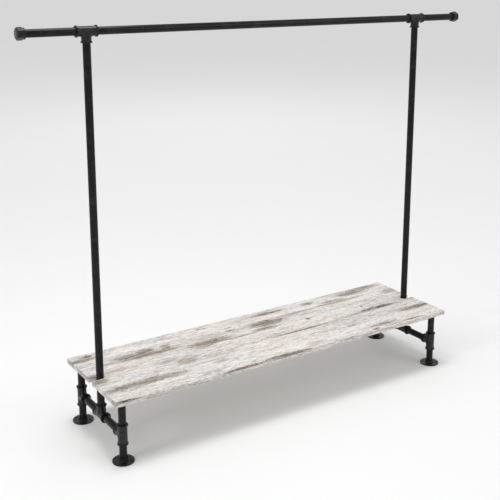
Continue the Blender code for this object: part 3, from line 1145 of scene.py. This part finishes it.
def flange_mesh(settings, material):
    """A floor flange standing on z = 0, open right through, with four screw holes."""
    hub, edge, foot, hold = 0.0014, 0.0014, 0.0005, 0.0003
    outline = [(SOCKET_RADIUS + FLANGE_CHAMFER, FLANGE_HEIGHT)]
    outline += arc(FLANGE_HUB - hub, FLANGE_HEIGHT - hub, hub, 90, 0)
    outline += arc(FLANGE_HUB + FLANGE_FILLET, FLANGE_THICKNESS + FLANGE_FILLET, FLANGE_FILLET, 180, 270)
    outline += [(FLANGE_HUB + FLANGE_FILLET + hold, FLANGE_THICKNESS)]
    outline += [(FLANGE_RADIUS - edge - hold, FLANGE_THICKNESS)]
    outline += arc(FLANGE_RADIUS - edge, FLANGE_THICKNESS - edge, edge, 90, 0)
    outline += arc(FLANGE_RADIUS - foot, foot, foot, 0, -90, 3)
    outline += [(SOCKET_RADIUS, 0.0), (SOCKET_RADIUS, FLANGE_HEIGHT - FLANGE_CHAMFER)]
    body = turned_mesh("flange", outline, settings.sides, closed=True)
    body.materials.append(material)
    holes = made_by_nodes("flange_holes", screw_hole_tree("Ring of screw holes"), {"Material": material})
    mesh = combined(body, [holes], "DIFFERENCE")
    z = coordinates(mesh)[:, 2]
    mark_collars(mesh, np.clip((z - FLANGE_THICKNESS - 0.0020) / 0.0020, 0.0, 1.0))
    smooth_round(mesh)
    return mesh


# ---------------- board


NOTCH_RADIUS = 0.0148
NOTCH_EASED = 0.0009
LEG_SOCKET_DEPTH = 0.0100
RING_STEP = 0.0030
TOP_STEP = 0.0050

# Depth of the hollows between fibres and of the worn patches, and width of the chipped strip along an edge.
FIBRE_DEPTH = 0.00008
WORN_DEPTH = 0.00025
CHIPPED_WIDTH = 0.003


class RACK_OT_board(bpy.types.Operator):
    """Build the worn, white-washed board"""

    bl_idname = "rack.board"
    bl_label = "Board"

    def execute(self, context):
        settings = context.scene.rack_board
        mesh = combined(board_blank(settings), board_cutters(), "DIFFERENCE")
        smooth_round(mesh, 40)
        mesh.materials.clear()
        mesh.materials.append(board_material(settings))
        finish_piece("worn_board", mesh, BOARD)
        return {"FINISHED"}


def board_section(half_width, half_height, rounding):
    """Points round the board's section, (y, z) from its centre, from the front top edge over the top."""
    inner_y, inner_z = half_width - rounding, half_height - rounding
    top = np.linspace(-inner_y, inner_y, round(2 * inner_y / TOP_STEP))
    under = np.linspace(inner_y, -inner_y, round(2 * inner_y / (3 * TOP_STEP)))
    side = np.linspace(inner_z, -inner_z, 6)
    points = [(y, half_height) for y in top]
    points += corner_points(inner_y, inner_z, rounding, 90)
    points += [(half_width, z) for z in side]
    points += corner_points(inner_y, -inner_z, rounding, 0)
    points += [(y, -half_height) for y in under]
    points += corner_points(-inner_y, -inner_z, rounding, -90)
    points += [(-half_width, z) for z in reversed(side)]
    points += corner_points(-inner_y, inner_z, rounding, -180)
    return np.array(points)


def corner_points(y, z, rounding, start):
    """The points inside a quarter round, clockwise from start degrees."""
    return arc(y, z, rounding, start, start - 90, 6)[1:-1]


def board_rings(half_length, rounding):
    """Distance along the board of each ring, and how far it is drawn in by the round ends."""
    flat = half_length - rounding
    turns = np.radians(np.linspace(0, 75, 4))
    end = [(half_length - rounding * (1 - math.cos(t)), rounding * (1 - math.sin(t))) for t in turns]
    middle = np.linspace(-flat, flat, round(2 * flat / RING_STEP))
    return [(-x, inset) for x, inset in end] + [(x, 0.0) for x in middle] + end[::-1]


def board_blank(settings):
    """The board before its notches and sockets are cut, its top and long edges worn."""
    low, high, centre = box_facts(BOARD)
    half = (high - low) / 2
    section = board_section(half.y, half.z, settings.edge)
    rings = board_rings(half.x, settings.edge)
    grid = np.zeros((len(rings), len(section), 3))
    for index, (x, inset) in enumerate(rings):
        grid[index, :, 0] = x
        grid[index, :, 1] = section[:, 0] * (1 - inset / half.y)
        grid[index, :, 2] = section[:, 1] * (1 - inset / half.z)
    wear(grid, half, settings.chip)
    shape = bmesh.new()
    placed = [[shape.verts.new(point) for point in ring] for ring in (grid + np.array(centre)).tolist()]
    join_rings(shape, placed)
    shape.faces.new(placed[0])
    shape.faces.new(placed[-1][::-1])
    return mesh_from(shape, "board")


def wear(grid, half, chip):
    """Lowers the top in the worn patches and between the fibres, and chips its long edges."""
    for point in grid.reshape(-1, 3):
        x, y, z = point
        if z < half.z * 0.6:
            continue
        fibre = noise.noise((x * 7.0, y * 190.0, 3.7))
        depth = FIBRE_DEPTH * (fibre + 1.0) + WORN_DEPTH * worn_share(x, y)
        if half.y - abs(y) < CHIPPED_WIDTH:
            bite = noise.noise((x * 21.0, y * 3.0, 9.1)) + 0.6 * noise.noise((x * 90.0, y, z * 60.0))
            depth += chip * min(max(bite * 2.2 - 0.55, 0.0), 1.0)
            point[1] -= math.copysign(depth * 0.7, y)
        point[2] -= depth


def worn_share(x, y):
    """How worn the board is at a point, from 0 to 1."""
    total = 0.0
    for along, across, half_length, half_width, strength in BROWN_PATCHES:
        reach = ((x - along) / half_length) ** 2 + ((y - across) / half_width) ** 2
        if reach < 1.5:
            total = max(total, strength * min(1.0, (1.5 - reach) / 0.9))
    return total


def board_cutters():
    """Notches that let the uprights through, and blind sockets for the tops of the legs."""
    low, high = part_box(BOARD)
    cutters = []
    for end in ENDS:
        post_x = box_facts(f"upright_{end}")[2].x
        notch = notch_mesh(high.x + OVERSHOOT - abs(post_x), low.z, high.z)
        turn = Matrix.Rotation(0.0 if post_x > 0 else math.pi, 4, "Z")
        notch.transform(Matrix.Translation((post_x, 0.0, 0.0)) @ turn)
        cutters.append(notch)
    outline = [(0.0, LEG_SOCKET_DEPTH), (SOCKET_RADIUS, LEG_SOCKET_DEPTH)]
    outline += [(SOCKET_RADIUS, 0.0005), (SOCKET_RADIUS + 0.0035, -0.0030), (0.0, -0.0030)]
    for corner in CORNERS:
        leg = box_facts(f"leg_upper_nipple_{corner}")[2]
        socket = turned_mesh("leg_socket", outline, 48)
        socket.transform(Matrix.Translation((leg.x, leg.y, low.z)))
        cutters.append(socket)
    return cutters


def notch_mesh(reach, low_z, high_z):
    """A slot from the origin out along +X, round at its inner end, eased where it meets both faces."""
    wider = NOTCH_EASED + OVERSHOOT
    levels = [(low_z - OVERSHOOT, wider), (low_z + NOTCH_EASED, 0.0)]
    levels += [(high_z - NOTCH_EASED, 0.0), (high_z + OVERSHOOT, wider)]
    shape = bmesh.new()
    rings = []
    for z, extra in levels:
        radius = NOTCH_RADIUS + extra
        outline = [(reach, -radius), (reach, radius)] + arc(0.0, 0.0, radius, 90, 270, 25)
        rings.append([shape.verts.new((x, y, z)) for x, y in outline])
    shape.faces.new(rings[0][::-1])
    shape.faces.new(rings[-1])
    join_rings(shape, rings)
    bmesh.ops.recalc_face_normals(shape, faces=shape.faces)
    return mesh_from(shape, "notch")


# ---------------- stage


CAMERA_PLACE = (-1.889, -2.732, 1.639)
CAMERA_HEADING = math.radians(33.42)
CAMERA_DOWN = math.radians(13.03)
CAMERA_LENS = 64.8
CAMERA_SHIFT = -0.145

# Softboxes: the setting with their power, place, point they face, width and height, spread in degrees.
SOFTBOXES = (
    ("high", (-0.6, 0.6, 10.0), (0.0, 0.0, 0.0), (1.6, 1.6), 180),
    ("key", (-0.3, 0.05, 2.7), (-0.1, 0.0, 0.0), (0.9, 0.7), 180),
    ("side", (-4.2, -0.6, 2.9), (0.0, 0.0, 1.2), (0.4, 2.0), 180),
    ("front", (2.9, -4.0, 3.4), (0.0, 0.0, 1.4), (3.0, 2.4), 180),
    ("back", (3.2, 5.5, 6.0), (3.2, 5.5, 0.0), (2.0, 2.0), 100),
)
SUN_WIDTH = math.radians(10)
SUN_TURN = (math.radians(1.5), math.radians(-3), 0.0)
FLOOR_REACH = 120.0
FLOOR_MOTTLE = 0.985


class RACK_OT_stage(bpy.types.Operator):
    """Set up the floor, the soft lights and the camera"""

    bl_idname = "rack.stage"
    bl_label = "Studio"

    def execute(self, context):
        settings = context.scene.rack_stage
        add_floor(settings)
        add_sky(context.scene, settings.sky)
        add_overhead(settings.sun)
        for name, *layout in SOFTBOXES:
            add_softbox(f"{name.capitalize()} softbox", getattr(settings, name), *layout)
        add_camera(context.scene)
        context.scene.view_settings.view_transform = "Standard"
        return {"FINISHED"}


def add_floor(settings):
    mesh = bpy.data.meshes.new("studio_floor")
    r = FLOOR_REACH
    mesh.from_pydata([(-r, -r, 0), (r, -r, 0), (r, r, 0), (-r, r, 0)], [], [(0, 1, 2, 3)])
    material, tree, shader = new_material("Seamless paper")
    mottle = noise_at(tree, object_place(tree), 1.5, 3.0, 0.5)
    darker = solid(FLOOR_MOTTLE * v for v in settings.floor)
    paper = mixed_colour(tree, mottle, solid(settings.floor), darker)
    feed(tree, shader, {"Base Color": paper, "Roughness": 0.95, "Specular IOR Level": 0.05})
    mesh.materials.append(material)
    add_object("studio_floor", mesh)


def add_sky(scene, strength):
    world = bpy.data.worlds.new("Studio")
    world.use_nodes = True
    tree = world.node_tree
    feed(tree, tree.nodes["Background"].inputs, {"Color": (1.0, 1.0, 1.0, 1.0), "Strength": strength})
    scene.world = world


def add_overhead(strength):
    light = bpy.data.lights.new("Overhead light", "SUN")
    light.energy = strength
    light.angle = SUN_WIDTH
    add_object("Overhead light", light).rotation_euler = SUN_TURN


def add_softbox(name, power, place, target, size, spread):
    light = bpy.data.lights.new(name, "AREA")
    light.shape = "RECTANGLE"
    light.size, light.size_y = size
    light.energy = power
    light.spread = math.radians(spread)
    lamp = add_object(name, light)
    lamp.location = place
    lamp.rotation_euler = (Vector(target) - Vector(place)).to_track_quat("-Z", "Y").to_euler()


def add_camera(scene):
    camera = add_object("Camera", bpy.data.cameras.new("Camera"))
    camera.data.lens = CAMERA_LENS
    camera.data.shift_y = CAMERA_SHIFT
    camera.location = CAMERA_PLACE
    camera.rotation_euler = (math.pi / 2 - CAMERA_DOWN, 0.0, -CAMERA_HEADING)
    scene.camera = camera


# ---------------- panel and registration


SECTIONS = (
    ("rack_pipes", ("rack.pipes",)),
    ("rack_fittings", ("rack.tees", "rack.caps", "rack.flanges")),
    ("rack_board", ("rack.board",)),
    ("rack_stage", ("rack.stage",)),
)


class RACK_PT_builder(bpy.types.Panel):
    """Settings and builders of the clothes rack"""

    bl_idname = "RACK_PT_builder"
    bl_label = "Pipe clothes rack"
    bl_space_type = "VIEW_3D"
    bl_region_type = "UI"
    bl_category = "Rack"

    def draw(self, context):
        for group, operators in SECTIONS:
            box = self.layout.box()
            settings = getattr(context.scene, group)
            for name in settings.__annotations__:
                box.prop(settings, name)
            for operator in operators:
                box.operator(operator)


SETTINGS = {
    "rack_pipes": PipeSettings,
    "rack_fittings": FittingSettings,
    "rack_board": BoardSettings,
    "rack_stage": StageSettings,
}
CLASSES = (
    *SETTINGS.values(),
    RACK_OT_pipes,
    RACK_OT_tees,
    RACK_OT_caps,
    RACK_OT_flanges,
    RACK_OT_board,
    RACK_OT_stage,
    RACK_PT_builder,
)


def register():
    for cls in CLASSES:
        bpy.utils.register_class(cls)
    for name, cls in SETTINGS.items():
        setattr(bpy.types.Scene, name, PointerProperty(type=cls))


def unregister():
    for name in SETTINGS:
        delattr(bpy.types.Scene, name)
    for cls in reversed(CLASSES):
        bpy.utils.unregister_class(cls)


def main():
    register()
    bpy.ops.rack.pipes()
    bpy.ops.rack.tees()
    bpy.ops.rack.caps()
    bpy.ops.rack.flanges()
    bpy.ops.rack.board()
    bpy.ops.rack.stage()


if __name__ == "__main__":
    main()
